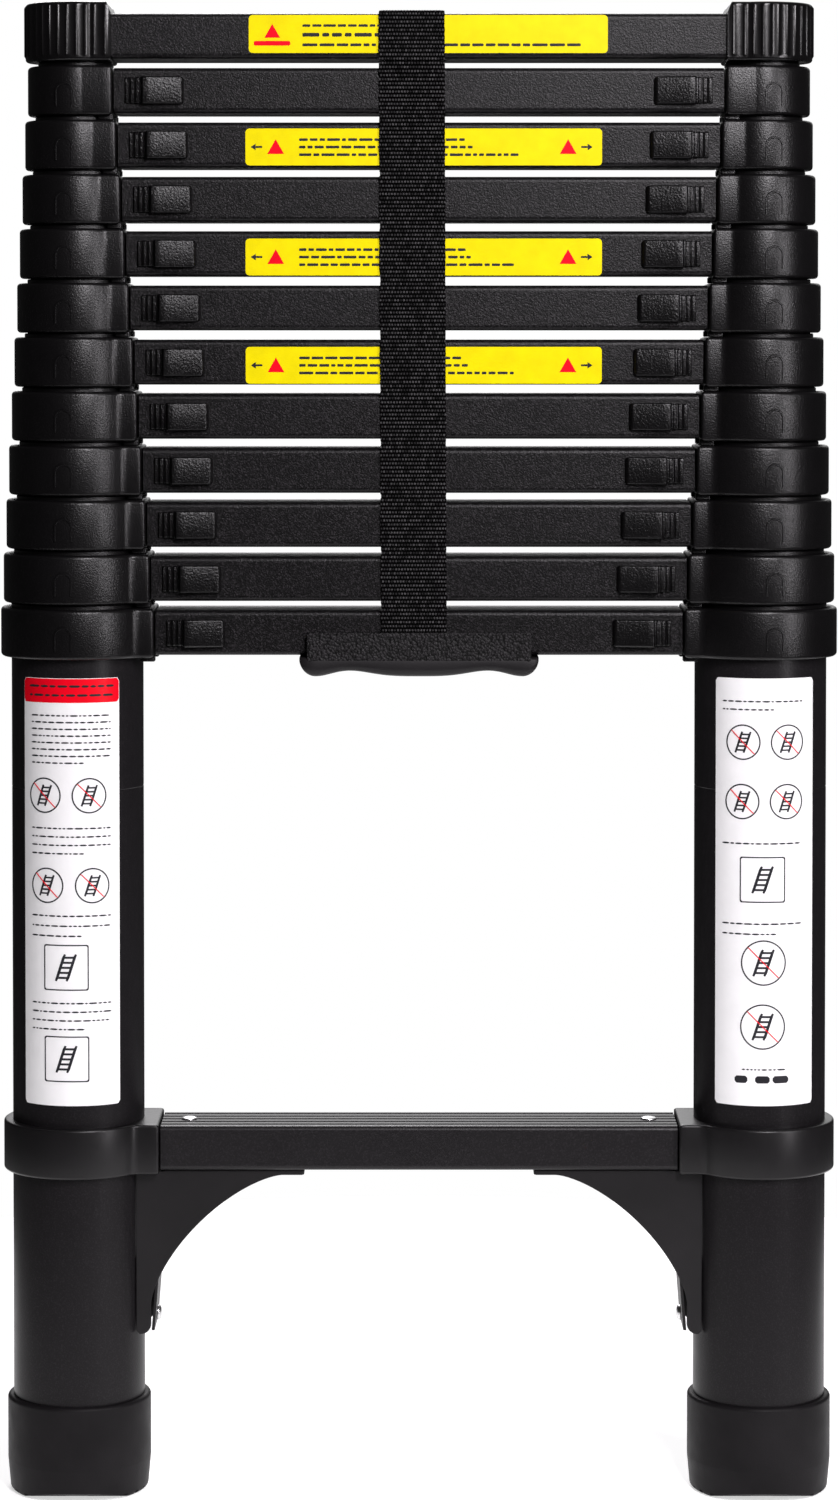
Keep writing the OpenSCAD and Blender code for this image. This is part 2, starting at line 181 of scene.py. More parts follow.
def block(low, high, edge):
    """A box with rounded upright edges and chamfered rims."""
    (x0, y0, z0), (x1, y1, z1) = low, high
    loops = []
    for z, inset in ((z0, edge / 2), (z0 + edge / 2, 0), (z1 - edge / 2, 0), (z1, edge / 2)):
        outline = rounded(x0 + inset, y0 + inset, x1 - inset, y1 - inset, edge - inset / 2, 3)
        loops.append(at_height(outline, z))
    return loft(loops)


def merge(*parts):
    verts, faces = [], []
    for part_verts, part_faces in parts:
        start = len(verts)
        verts += part_verts
        faces += [tuple(i + start for i in face) for face in part_faces]
    return verts, faces


def moved(part, x=0.0, y=0.0, z=0.0):
    return [(px + x, py + y, pz + z) for px, py, pz in part[0]], part[1]


def place(side, part, z=0.0):
    """Takes a part from beside a stile to the left or the right stile."""
    verts = [(side * (STILE_X - x), y, pz + z) for x, y, pz in part[0]]
    return verts, part[1] if side < 0 else [face[::-1] for face in part[1]]


def both(part, z=0.0):
    return merge(*(place(side, part, z) for side in SIDES))


def piece(name, part, material, rides, replaced=(), smooth=35, bevel=0.0):
    """Makes an object of a part, rounds its edges and hands it to the frame."""
    mesh = bpy.data.meshes.new(name)
    mesh.from_pydata(part[0], [], part[1])
    mesh.validate()
    mesh.polygons.foreach_set("use_smooth", [True] * len(mesh.polygons))
    mesh.materials.append(material)
    obj = bpy.data.objects.new(name, mesh)
    bpy.context.scene.collection.objects.link(obj)
    with bpy.context.temp_override(object=obj, active_object=obj, selected_objects=[obj]):
        bpy.context.view_layer.objects.active = obj
        bpy.ops.object.mode_set(mode="EDIT")
        bpy.ops.mesh.select_all(action="SELECT")
        bpy.ops.mesh.normals_make_consistent(inside=False)
        bpy.ops.object.mode_set(mode="OBJECT")
    mesh.set_sharp_from_angle(angle=math.radians(smooth))
    if bevel:
        rounding = obj.modifiers.new("edges", "BEVEL")
        rounding.width = bevel
        rounding.segments = 2
        rounding.limit_method = "ANGLE"
        rounding.angle_limit = math.radians(smooth)
        rounding.harden_normals = True
    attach(obj, rides)
    if replaced:
        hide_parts(*replaced)
    return obj


# ---- Materials ----


class Nodes:
    """The node tree of a new material, with short ways to add to it."""

    def __init__(self, name, roughness, metallic=0.0, gloss=0.5):
        self.material = bpy.data.materials.new(name)
        self.material.use_nodes = True
        self.tree = self.material.node_tree
        self.shader = self.tree.nodes["Principled BSDF"]
        self.shader.inputs["Roughness"].default_value = roughness
        self.shader.inputs["Metallic"].default_value = metallic
        self.shader.inputs["Specular IOR Level"].default_value = gloss
        self.place = self.add("ShaderNodeTexCoord").outputs["Object"]

    def add(self, kind, **settings):
        node = self.tree.nodes.new(kind)
        for key, value in settings.items():
            if hasattr(node, key):
                setattr(node, key, value)
            else:
                node.inputs[key].default_value = value
        return node

    def link(self, source, target):
        self.tree.links.new(source, target)

    def noise(self, scale, detail=4.0, stretch=None):
        node = self.add("ShaderNodeTexNoise", Scale=scale, Detail=detail)
        source = self.place
        if stretch:
            mapping = self.add("ShaderNodeMapping", Scale=stretch)
            self.link(source, mapping.inputs["Vector"])
            source = mapping.outputs["Vector"]
        self.link(source, node.inputs["Vector"])
        return node.outputs["Fac"]

    def ramp(self, value, low, high, dark, light):
        node = self.add("ShaderNodeValToRGB")
        node.color_ramp.elements[0].position = low
        node.color_ramp.elements[1].position = high
        node.color_ramp.elements[0].color = (*dark, 1)
        node.color_ramp.elements[1].color = (*light, 1)
        self.link(value, node.inputs["Fac"])
        return node.outputs["Color"]

    def colour(self, source):
        self.link(source, self.shader.inputs["Base Color"])

    def rough(self, value, low, high):
        node = self.add("ShaderNodeMapRange")
        node.inputs["To Min"].default_value = low
        node.inputs["To Max"].default_value = high
        self.link(value, node.inputs["Value"])
        self.link(node.outputs["Result"], self.shader.inputs["Roughness"])

    def bump(self, value, distance):
        node = self.add("ShaderNodeBump", Distance=distance, Strength=1.0)
        self.link(value, node.inputs["Height"])
        before = self.shader.inputs["Normal"].links
        if before:
            self.link(before[0].from_socket, node.inputs["Normal"])
        self.link(node.outputs["Normal"], self.shader.inputs["Normal"])


def grey(value, tint=0.0):
    """A grey with a little more red and blue in it by the tint."""
    return (value * (1 + tint), value, value * (1 + tint))


# The black coats and plastics look a little purple.
COAT_TINT = 0.1

# The weave of the strap: rows across it, each made of short floats.
WEAVE_ROW = 2.36 * MM
FLOAT_LENGTH = 1.7 * MM
FLOAT_GAP = 0.38 * MM
WEAVE_SCALE = 200.0


def powder_coat(name, shade, glint_speckle, depth, gloss=0.22):
    """Black powder coat: a fine grain with pale specks, which are partly the coat's grain and partly
    painted glints of its sparkle.
    """
    nodes = Nodes(name, 0.5, gloss=gloss)
    grain = nodes.noise(1150, detail=2)
    # Pale specks: partly grain, partly painted glints that stand in for the coat's sparkle.
    nodes.colour(nodes.ramp(grain, 0.5, 0.74, grey(shade, COAT_TINT), grey(shade * glint_speckle, COAT_TINT)))
    nodes.rough(nodes.noise(60, detail=3), 0.3, 0.4)
    nodes.bump(grain, depth)
    return nodes.material


def satin_plastic(name, shade, roughness, scale=700, depth=0.00004, gloss=0.25):
    """Moulded plastic: a faint orange peel and slightly uneven gloss."""
    nodes = Nodes(name, roughness, gloss=gloss)
    blotch = nodes.noise(25, detail=3)
    dark, light = grey(shade * 0.8, COAT_TINT), grey(shade * 1.3, COAT_TINT)
    nodes.colour(nodes.ramp(blotch, 0.3, 0.75, dark, light))
    nodes.rough(nodes.noise(320, detail=3), roughness - 0.03, roughness + 0.05)
    nodes.bump(nodes.noise(scale, detail=3), depth)
    return nodes.material


def foot_rubber():
    """Dull moulded rubber with a soft unevenness."""
    nodes = Nodes("foot_rubber", 0.5, gloss=0.1)
    blotch = nodes.noise(30, detail=5)
    nodes.colour(nodes.ramp(blotch, 0.3, 0.75, grey(0.006, COAT_TINT), grey(0.011, COAT_TINT)))
    nodes.rough(nodes.noise(90, detail=4), 0.38, 0.6)
    nodes.bump(nodes.noise(900, detail=3), 0.00006)
    nodes.bump(nodes.noise(45, detail=2), 0.0004)
    return nodes.material


def leather_grain():
    """Pebbled rubber, as on the plate of the carry handle, with painted shade in the hollows between the
    pebbles.
    """
    nodes = Nodes("handle_grain", 0.55, gloss=0.2)
    cells = nodes.add("ShaderNodeTexVoronoi", feature="SMOOTH_F1", Scale=760.0)
    nodes.link(nodes.place, cells.inputs["Vector"])
    height = cells.outputs["Distance"]
    # Painted shade: the hollows between the pebbles are dark and the pebble tops lighter.
    nodes.colour(nodes.ramp(height, 0.12, 0.55, grey(0.018, COAT_TINT), grey(0.001, COAT_TINT)))
    nodes.rough(nodes.noise(300, detail=3), 0.42, 0.62)
    nodes.bump(height, -0.0007)
    return nodes.material


def webbing():
    """Woven nylon: rows of short floats, each with its own random tone, laid out along and across the
    strap, with painted shade in the gaps between floats and in the valleys between rows.

    The brick sizes are multiplied by the scale because their sockets take no small numbers.
    """
    nodes = Nodes("strap_webbing", 0.8, gloss=0.03)
    strand = nodes.add("ShaderNodeAttribute", attribute_name="strand").outputs["Vector"]
    floats = nodes.add("ShaderNodeTexBrick", offset=0.5, offset_frequency=2)
    sizes = {"Mortar Size": FLOAT_GAP, "Brick Width": FLOAT_LENGTH, "Row Height": WEAVE_ROW}
    for socket, size in sizes.items():
        floats.inputs[socket].default_value = size * WEAVE_SCALE
    for socket, value in (("Scale", WEAVE_SCALE), ("Mortar Smooth", 0.6), ("Bias", 0.0)):
        floats.inputs[socket].default_value = value
    # Color1 and Color2 are the floats' random tones; the dark Mortar is painted shade in the gaps between
    # floats.
    for socket, value in (("Color1", 0.012), ("Color2", 0.075), ("Mortar", 0.0003)):
        floats.inputs[socket].default_value = (*grey(value, tint=0.03), 1)
    nodes.link(strand, floats.inputs["Vector"])
    # Painted shade: the rib wave below multiplies the colour down to 3% in the valleys between the rows.
    waves_per_unit = 20 / math.tau
    ribs = nodes.add("ShaderNodeTexWave", bands_direction="Y", Scale=1 / waves_per_unit / WEAVE_ROW)
    nodes.link(strand, ribs.inputs["Vector"])
    shaded = nodes.add("ShaderNodeVectorMath", operation="MULTIPLY")
    nodes.link(floats.outputs["Color"], shaded.inputs[0])
    nodes.link(nodes.ramp(ribs.outputs["Fac"], 0.3, 0.9, grey(0.03), grey(1.0)), shaded.inputs[1])
    nodes.colour(shaded.outputs["Vector"])
    nodes.rough(nodes.noise(200, detail=3), 0.6, 0.85)
    nodes.bump(floats.outputs["Fac"], -0.0005)
    nodes.bump(nodes.noise(2600, detail=4, stretch=(1, 1, 0.35)), 0.0002)
    return nodes.material


def brushed_steel():
    """Bright metal with fine scratches along x."""
    nodes = Nodes("bright_steel", 0.3, metallic=1.0)
    scratches = nodes.noise(500, detail=5, stretch=(0.15, 1, 1))
    nodes.colour(nodes.ramp(scratches, 0.3, 0.7, grey(0.5), grey(0.8)))
    nodes.rough(scratches, 0.2, 0.42)
    nodes.bump(scratches, 0.00004)
    return nodes.material


def printed(name, colour, wear=0.12):
    """Printed film: slightly uneven ink under a satin laminate."""
    nodes = Nodes(name, 0.35, gloss=0.1)
    patch = nodes.noise(90, detail=5)
    nodes.colour(nodes.ramp(patch, 0.3, 0.7, tuple(c * (1 - wear) for c in colour), colour))
    nodes.rough(nodes.noise(400, detail=3), 0.28, 0.45)
    nodes.bump(nodes.noise(1200, detail=2), 0.00002)
    return nodes.material


ALUMINIUM = powder_coat("black_aluminium", shade=0.0022, glint_speckle=11, depth=0.00022)
SMOOTH_COAT = powder_coat("bottom_rung_coat", shade=0.009, glint_speckle=2, depth=0.00008)
TUBE_COAT = powder_coat("tube_coat", shade=0.008, glint_speckle=2, depth=0.00006, gloss=0.14)
COLLAR = satin_plastic("collar_plastic", 0.003, roughness=0.3, scale=1100, depth=0.00018, gloss=0.33)
CAP = satin_plastic("cap_plastic", 0.003, roughness=0.24, gloss=0.35)
LATCH = satin_plastic("latch_plastic", 0.0022, roughness=0.28, scale=900, depth=0.0003, gloss=0.3)
CLAMP = satin_plastic("clamp_plastic", 0.006, roughness=0.34, gloss=0.35)
BRACKET = satin_plastic("bracket_coat", 0.008, roughness=0.42, scale=1300)
RUBBER = foot_rubber()
GRIP = satin_plastic("handle_grip", 0.0095, roughness=0.45)
GRAIN = leather_grain()
WEBBING = webbing()
STEEL = brushed_steel()
YELLOW = printed("label_yellow", (0.88, 0.74, 0.0))
WHITE = printed("label_white", grey(0.95), wear=0.04)
RED = printed("label_red", (0.88, 0.002, 0.015))
INK = printed("label_ink", (0.03, 0.03, 0.035), wear=0.3)

# ---- Collars, caps and clamps ----


def ring_and_boss(r, reach, inset):
    """Seen from above: a ring with a square boss that ends flat at the rung, blended by a hollow curve."""
    r, half, reach, fillet = r - inset, BOSS_HALF_Y - inset, reach - inset, BOSS_FILLET + inset
    cx = math.sqrt((r + fillet) ** 2 - (half + fillet) ** 2)
    cy = half + fillet
    ring_start = math.degrees(math.atan2(cy, cx))
    soft = 1.4 * MM
    upper = [(reach, y) for y in steps(0, half - soft, 6)]
    upper += arc(reach - soft, half - soft, soft, 0, 90, 4)[1:]
    upper += [(x, half) for x in steps(reach - soft, cx, 4)[1:]]
    upper += arc(cx, cy, fillet, -90, ring_start - 180, 10)[1:]
    upper += arc(0, 0, r, ring_start, 180, 40)[1:]
    return upper + [(x, -y) for x, y in upper[-2:0:-1]]


def circle_like(outline, r):
    """A circle with one point on the same ray as each point of the outline."""
    return [(r * x / math.hypot(x, y), r * y / math.hypot(x, y)) for x, y in outline]


def edge_rows(low, high, edge, count=4):
    """(z, inset) rows of a wall whose two rims are rounded."""
    turns = steps(0, math.pi / 2, count)
    rows = [(low + edge * (1 - math.cos(a)), edge * (1 - math.sin(a))) for a in turns]
    return rows + [(low + high - z, inset) for z, inset in reversed(rows)]


def within_one(value):
    return min(1, max(0, value))


def boss_spacers(level):
    """The two blocks under a boss that rest on the collar below."""
    near, far = rung_end(level) - 9 * MM, rung_end(level) - 0.4 * MM
    low, high = COLLAR_HALF - PITCH + 0.2 * MM, -COLLAR_HALF + MM
    inner_y, outer_y = 14 * MM, 22 * MM
    parts = []
    for y0, y1 in ((-outer_y, -inner_y), (inner_y, outer_y)):
        parts.append(block((near, y0, low), (far, y1, high), 0.8 * MM))
    return merge(*parts)


def lock_mark(r):
    """A thin raised arch on the front of a collar, a little to the outside of the stile's axis."""
    half_w, top, low, aside = 4.8 * MM, 4 * MM, -9 * MM, 5 * MM
    bead, high, under = 0.8 * MM, 0.6 * MM, 0.3 * MM
    section = ((-bead, -under), (-0.4 * bead, high), (0.4 * bead, high), (bead, -under))
    path = [(half_w, z) for z in steps(low, top - half_w, 4)]
    path += arc(0, top - half_w, half_w, 0, 180, 14)[1:]
    path += [(-half_w, z) for z in steps(top - half_w, low, 4)[1:]]
    loops = []
    for i, (s, z) in enumerate(path):
        before, after = path[max(i - 1, 0)], path[min(i + 1, len(path) - 1)]
        ds, dz = after[0] - before[0], after[1] - before[1]
        length = math.hypot(ds, dz)
        across = (-dz / length, ds / length)
        loop = []
        for offset, height in section:
            angle = -math.pi / 2 - (aside + s + across[0] * offset) / r
            radius = r + height
            loop.append((radius * math.cos(angle), radius * math.sin(angle), z + across[1] * offset))
        loops.append(loop)
    return loft(loops)


def collar(level):
    """Ring and boss, with the neck that carries the next collar."""
    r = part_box(collar_node(level))[1].y
    end = rung_end(level) - JOINT_GAP
    edge, chamfer = 2.2 * MM, 0.5 * MM
    neck, neck_top = r - 6 * MM, PITCH - COLLAR_HALF - 0.3 * MM
    lip = tube_r(level + 1) + 0.46 * MM
    bore = tube_r(level) + BORE_GAP
    rows = edge_rows(-COLLAR_HALF, COLLAR_HALF, edge)
    outlines = [(ring_and_boss(r, end, inset), z) for z, inset in rows]
    first, last = outlines[0][0], outlines[-1][0]
    inside = [(neck, COLLAR_HALF), (neck, neck_top - chamfer), (neck - chamfer, neck_top)]
    inside += [(lip, neck_top), (lip, TUBE_END)]
    loops = [at_height(circle_like(first, bore), -COLLAR_HALF)]
    loops += [at_height(outline, z) for outline, z in outlines]
    loops += [at_height(circle_like(last, radius), z) for radius, z in inside]
    loops.append(at_height(circle_like(first, bore), TUBE_END))
    return merge(loft(loops, ring=True), boss_spacers(level), lock_mark(r))


def top_cap():
    """A closed cap with upright ribs all round and a short slope down to the rung."""
    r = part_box("top_caps")[1].y
    end = rung_end(TOP)
    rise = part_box("top_caps")[1].z - level_z(TOP)
    ramp, ramp_z = 2.4 * MM, RUNG_HALF_Z + 0.6 * MM
    ribs, rib_height, per_rib = 26, 0.8 * MM, 10
    rib_low, rib_high = -COLLAR_HALF + 2.4 * MM, rise - MM
    fade = 1.4 * MM
    base = r - rib_height
    corner = math.atan2(BOSS_HALF_Y, end)

    def slope(x):
        return lerp(rise, ramp_z, within_one((x - end + ramp) / ramp))

    def outline(inset, z):
        height = rib_height * within_one((z - rib_low) / fade) * within_one((rib_high - z) / fade)
        face = [(end - inset, (end - inset) * math.tan(a)) for a in steps(-corner, corner, 8)[1:-1]]
        around = []
        for a in steps(corner, math.tau - corner, ribs * per_rib):
            square = (BOSS_HALF_Y - inset) / abs(math.sin(a)) if math.cos(a) > 0 else 0
            flat = (end - inset) / max(0.01, math.cos(a))
            hollow = abs(math.cos((a - corner) / (math.tau - 2 * corner) * math.pi * ribs)) ** 0.45
            radius = max(base - inset, min(square, flat)) + height * (1 - hollow)
            around.append((radius * math.cos(a), radius * math.sin(a)))
        return face + around

    rows = edge_rows(-COLLAR_HALF, rise, 1.9 * MM, 6)
    below, above = rows[:7], rows[7:]
    fades = (0, 0.3, 0.6, 1)
    between = [rib_low + fade * t for t in fades] + [rib_high - fade * t for t in reversed(fades)]
    rows = below + [(z, 0.0) for z in between if below[-1][0] < z < above[0][0]] + above
    outlines = [(outline(inset, z), z) for z, inset in rows]
    bore = tube_r(TOP) + BORE_GAP
    first, last = outlines[0][0], outlines[-1][0]
    loops = [at_height(circle_like(first, bore), z) for z in (TUBE_END, -COLLAR_HALF)]
    loops += [at_height(points, z) for points, z in outlines]
    loops += [[(x * k, y * k, rise) for x, y in last] for k in (0.8, 0.5)]
    verts, faces = loft(loops)
    return [(x, y, min(z, slope(x))) for x, y, z in verts], faces


def clamp():
    """Holds the bottom rung to the base tube."""
    high = (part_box("bottom_rung_clamps")[1].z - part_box("bottom_rung_clamps")[0].z) / 2
    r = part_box("bottom_rung_clamps")[1].y
    end = STILE_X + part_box("bottom_rung")[0].x - JOINT_GAP
    bore = TUBE_R + BORE_GAP
    outlines = [(ring_and_boss(r, end, inset), z) for z, inset in edge_rows(-high, high, edge=1.5 * MM)]
    first, last = outlines[0][0], outlines[-1][0]
    loops = [at_height(circle_like(first, bore), -high)]
    loops += [at_height(outline, z) for outline, z in outlines]
    loops.append(at_height(circle_like(last, bore), high))
    return loft(loops, ring=True)


for level in range(TOP):
    pair = both(collar(level), level_z(level))
    piece(f"collars_level_{level}", pair, COLLAR, body(level), [collar_node(level)])
piece("caps", both(top_cap(), level_z(TOP)), CAP, body(TOP), ["top_caps"])
piece("rung_clamps", both(clamp(), BOTTOM_Z), CLAMP, "base", ["bottom_rung_clamps"])

# ---- Latches ----


def thumb_slide():
    """A slide with stepped ridges at its outer end and a thumb block that slopes down to the inner end."""
    length, half_h, plate, crest, inner_high = 34 * MM, 7.9 * MM, 1.2 * MM, 6.2 * MM, 3.7 * MM
    ridge_zone, ridges, wall, drop = 9.4 * MM, 3, 1.3 * MM, 2.6 * MM
    width = ridge_zone / ridges
    stations = [(0, plate, half_h - 0.9 * MM)]
    for i in range(ridges):
        front, high, back = plate + 0.4 * i * MM, plate + (0.9 + 0.75 * i) * MM, plate + 0.5 * i * MM
        for t, z in ((0.0, front), (0.14, high), (0.62, high), (0.76, back)):
            stations.append(((i + t) * width, z, half_h - 0.5 * MM))
    for t in steps(0, 1, 5):
        climb = math.sqrt(1 - (1 - t) ** 2)
        stations.append((ridge_zone + t * wall, lerp(plate + MM, crest, climb), half_h))
    for t in steps(0, 1, 6)[1:]:
        stations.append((lerp(ridge_zone + wall, length - drop, t), lerp(crest, inner_high, t), half_h))
    for t in steps(0, 1, 7)[1:]:
        fall = math.sqrt(max(0, 1 - t * t))
        z = max(0.3 * MM, inner_high * fall)
        stations.append((length - drop * (1 - t), z, half_h - 1.8 * MM * (1 - fall)))
    loops = []
    for x, high, half in stations:
        r = min(1.1 * MM, 0.6 * high)
        rim = [(half, 0)] + arc(half - r, high - r, r, 0, 90, 4)
        loops.append([(x, -h, z) for z, h in rim] + [(x, -h, -z) for z, h in reversed(rim)])
    clearance = 0.3 * MM
    return moved(loft(loops), y=-RUNG_HALF_Y - clearance)


SLIDE_START = 6.8 * MM
for level in range(TOP):
    for side, name in zip(SIDES, ("left", "right")):
        slide = place(side, moved(thumb_slide(), x=rung_end(level) + SLIDE_START), level_z(level))
        piece(f"thumb_slide_{name}_{level}", slide, LATCH, f"{name}_release_{level}",
              [f"latch_{name}_{level}"], smooth=50)

# ---- Rungs, tubes and feet keep their CAD meshes ----


def show_cad(node, material):
    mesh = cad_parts[node].data
    mesh.materials.clear()
    mesh.materials.append(material)


for node in ["base_rung"] + [f"section_{level}" for level in range(1, TOP + 1)]:
    show_cad(node, ALUMINIUM)
show_cad("bottom_rung", SMOOTH_COAT)
show_cad("rubber_feet", RUBBER)


def base_tube():
    """The outer tube, with the faint ring where the sliding part of its sleeve begins."""
    low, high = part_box("main_tubes")[0].z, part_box("main_tubes")[1].z
    seam = BASE_Z - 91 * MM
    groove, depth = 0.5 * MM, 0.25 * MM
    inner = TUBE_R - TUBE_WALL
    profile = [(inner, low), (TUBE_R, low), (TUBE_R, seam - groove), (TUBE_R - depth, seam)]
    profile += [(TUBE_R, seam + groove), (TUBE_R, high), (inner, high)]
    return lathe(profile, 128)


piece("base_tubes", both(base_tube()), TUBE_COAT, "base", ["main_tubes"], smooth=20)

# ---- Gusset brackets, screws and rivets ----

GUSSET_LOW, GUSSET_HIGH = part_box("gusset_brackets")[0].z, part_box("gusset_brackets")[1].z
GUSSET_REACH = 133 * MM
PLATE_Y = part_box("gusset_brackets")[1].y
PLATE_T = 2 * MM
FLANGE_T = 3.2 * MM


def gusset():
    """Two plates with a hollow curve, a flange under the rung and a web that the screw goes through."""
    tube_side = math.sqrt(TUBE_R ** 2 - (PLATE_Y - PLATE_T) ** 2) + 0.2 * MM
    strip = tube_side + 8.7 * MM
    chamfer, round_corner = 2 * MM, 6 * MM
    curve_run = GUSSET_REACH - 13 * MM - strip
    curve_low = GUSSET_LOW + 18 * MM
    curve_rise = GUSSET_HIGH - FLANGE_T - curve_low
    top, tip = GUSSET_HIGH - MM, GUSSET_REACH - MM
    outline = [(tube_side, top), (tube_side, GUSSET_LOW + chamfer), (tube_side + chamfer, GUSSET_LOW)]
    outline += arc(strip - round_corner, GUSSET_LOW + round_corner, round_corner, -90, 0, 8)
    for t in steps(0, math.pi / 2, 28):
        x = strip + curve_run * (1 - math.cos(t) ** (4 / 3) if t < math.pi / 2 else 1)
        outline.append((x, curve_low + curve_rise * math.sin(t) ** (4 / 3)))
    outline += [(tip, GUSSET_HIGH - FLANGE_T), (tip, top)]
    plates = [prism(outline, y, y + PLATE_T) for y in (-PLATE_Y, PLATE_Y - PLATE_T)]
    end = STILE_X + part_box("bottom_rung")[0].x + 1.3 * MM
    flange_y = PLATE_Y - 0.1 * MM
    flange_low = (end, -flange_y, GUSSET_HIGH - FLANGE_T)
    flange = block(flange_low, (GUSSET_REACH, flange_y, GUSSET_HIGH), MM)
    web_x, web_t, lean = 43.6 * MM, 1.8 * MM, 3 * MM
    web_low, web_high = GUSSET_LOW + 2 * MM, GUSSET_LOW + 41 * MM
    web_y = PLATE_Y - PLATE_T / 2
    low_side = [(web_x, web_low), (web_x + web_t, web_low)]
    high_side = [(web_x + lean + web_t, web_high), (web_x + lean, web_high)]
    web = prism(low_side + high_side, -web_y, web_y)
    return merge(*plates, flange, web)


piece("gussets", both(gusset()), BRACKET, "base", ["gusset_brackets"],
      smooth=40, bevel=0.35 * MM)


def dome(r, height, rim):
    """A round head with a rolled rim, standing on z = 0."""
    shoulder = r * 0.98
    profile = [(r * 0.97, 0), (r, rim * 0.5), (shoulder, rim)]
    for a in steps(0.15, math.pi / 2 - 0.12, 8):
        profile.append((shoulder * math.cos(a), rim + (height - rim) * math.sin(a)))
    return lathe(profile, 40, closed=False)


def screw_head():
    centre_z = (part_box("gusset_screws")[0].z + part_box("gusset_screws")[1].z) / 2
    verts, faces = dome(4.5 * MM, 2.6 * MM, 0.8 * MM)
    base_x = 46 * MM
    return [(base_x + z, y, centre_z + x) for x, y, z in verts], faces


def rivet_head():
    height = 1.5 * MM
    head_x = STILE_X - 135 * MM
    return moved(dome(4.7 * MM, height, 0.4 * MM), x=head_x, z=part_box("rung_rivets")[1].z - height)


piece("bracket_screws", both(screw_head()), STEEL, "base", ["gusset_screws"])
piece("rivets", both(rivet_head()), STEEL, "base", ["rung_rivets"])

# ---- Carry handle ----


def grip():
    """The hand grip: a lobe at each end, a swell in the middle and a hollow between them."""
    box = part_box("carry_handle")
    half, low, depth = box[1].x, box[0].z, box[1].y
    top = BASE_Z - RUNG_HALF_Z - 1.2 * MM
    lobe, hollow = 9.5 * MM, 3.4 * MM
    loops = []
    for x in [half * math.sin(a) for a in steps(-math.pi / 2 * 0.96, math.pi / 2 * 0.96, 96)]:
        beyond = max(0, abs(x) - half + lobe) / lobe
        v = min(1, abs(x) / (half - lobe))
        z0 = low + hollow * math.sin(math.pi * v ** 1.7) ** 2
        z0 += (top - low) * 0.97 * (1 - math.sqrt(1 - beyond ** 2))
        y = depth - 3.5 * MM * (1 - math.sqrt(1 - beyond ** 2))
        r, q = min(5.6 * MM, (top - z0) * 0.5), min(1.6 * MM, (top - z0) * 0.3)
        outline = arc(y - r, z0 + r, r, -90, 0, 6) + arc(y - q, top - q, q, 0, 90, 3)
        outline += arc(-y + q, top - q, q, 90, 180, 3) + arc(-y + r, z0 + r, r, 180, 270, 6)
        loops.append([(x, py, pz) for py, pz in outline])
    return loft(loops)


def handle_plates():
    """The grained plates that hold the grip, one on each side of the rung."""
    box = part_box("carry_handle")
    half, depth, high = box[1].x - 4.5 * MM, box[1].y, box[1].z
    wall, overlap, corner = 3.4 * MM, 3.4 * MM, 1.6 * MM
    outline = rounded(-half, BASE_Z - RUNG_HALF_Z - overlap, half, high, corner, 4)
    return merge(*(prism(outline, y, y + wall) for y in (-depth, depth - wall)))


piece("handle_grip", grip(), GRIP, "base", ["carry_handle"], smooth=60)
piece("handle_plates", handle_plates(), GRAIN, "base", ["carry_handle"], bevel=0.6 * MM)

# ---- Strap ----

STRAP_X = (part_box("carry_strap")[0].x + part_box("carry_strap")[1].x) / 2
STRAP_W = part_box("carry_strap")[1].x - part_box("carry_strap")[0].x
STRAP_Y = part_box("carry_strap")[1].y
STRAP_T = 1.6 * MM
STRAP_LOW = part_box("carry_strap")[0].z
STRAP_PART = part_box("carry_strap")[1].z
STRAP_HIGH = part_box("strap_top_flap")[1].z


def even_path(points, gap):
    """Points at an even gap along a line, each with the line's direction and the distance so far."""
    lengths = [math.dist(a, b) for a, b in zip(points, points[1:])]
    count = max(2, round(sum(lengths) / gap))
    path, i, passed = [], 0, 0.0
    for k in range(count + 1):
        s = sum(lengths) * k / count
        while i < len(lengths) - 1 and passed + lengths[i] < s:
            passed += lengths[i]
            i += 1
        t = (s - passed) / lengths[i]
        a, b = points[i], points[i + 1]
        direction = ((b[0] - a[0]) / lengths[i], (b[1] - a[1]) / lengths[i])
        path.append(((lerp(a[0], b[0], t), lerp(a[1], b[1], t)), direction, s))
    return path


def woven_band(name, points, rides, replaced, lean):
    """Webbing along a path of (y, z) points, ribbed across, with a slightly ragged edge."""
    per_row, columns = 4, 90
    rng = random.Random(name)
    ragged = {}
    strands, loops = [], []
    for (y, z), (dy, dz), s in even_path(points, WEAVE_ROW / per_row):
        out = (dz, -dy)
        row = int(s / WEAVE_ROW)
        if row not in ragged:
            ragged[row] = rng.uniform(-0.35, 0.25) * MM
        ridge = abs(math.sin(math.pi * (s / WEAVE_ROW - row))) ** 0.6
        loop = []
        for c in range(columns + 1):
            u = c / columns
            across = (u - 0.5) * (STRAP_W + 2 * ragged[row] * (1 if u < 0.5 else 0.4))
            wave = 0.5 + 0.5 * math.cos(math.tau * (across / FLOAT_LENGTH + 0.5 * (row % 2)))
            rim = min(1, 12 * min(u, 1 - u) + 0.35)
            lift = (-0.8 + 0.8 * ridge * (0.5 + 0.5 * wave)) * MM * rim - (1 - rim) * 0.5 * MM
            loop.append((STRAP_X + across + lean(z), y + out[0] * lift, z + out[1] * lift))
            strands += [across, s, 0]
        for u in (1.0, 0.66, 0.33, 0.0):
            across = (u - 0.5) * STRAP_W * 0.985
            under = STRAP_T - 0.1 * MM
            loop.append((STRAP_X + across + lean(z), y - out[0] * under, z - out[1] * under))
            strands += [across, s, 0]
        loops.append(loop)
    obj = piece(name, loft(loops), WEBBING, rides, replaced, smooth=70)
    obj.data.attributes.new("strand", "FLOAT_VECTOR", "POINT").data.foreach_set("vector", strands)


def strap_lean(z):
    """The strap leans a little to the left towards its top."""
    return -1.3 * MM * (z - STRAP_LOW) / (STRAP_HIGH - STRAP_LOW) + 0.6 * MM


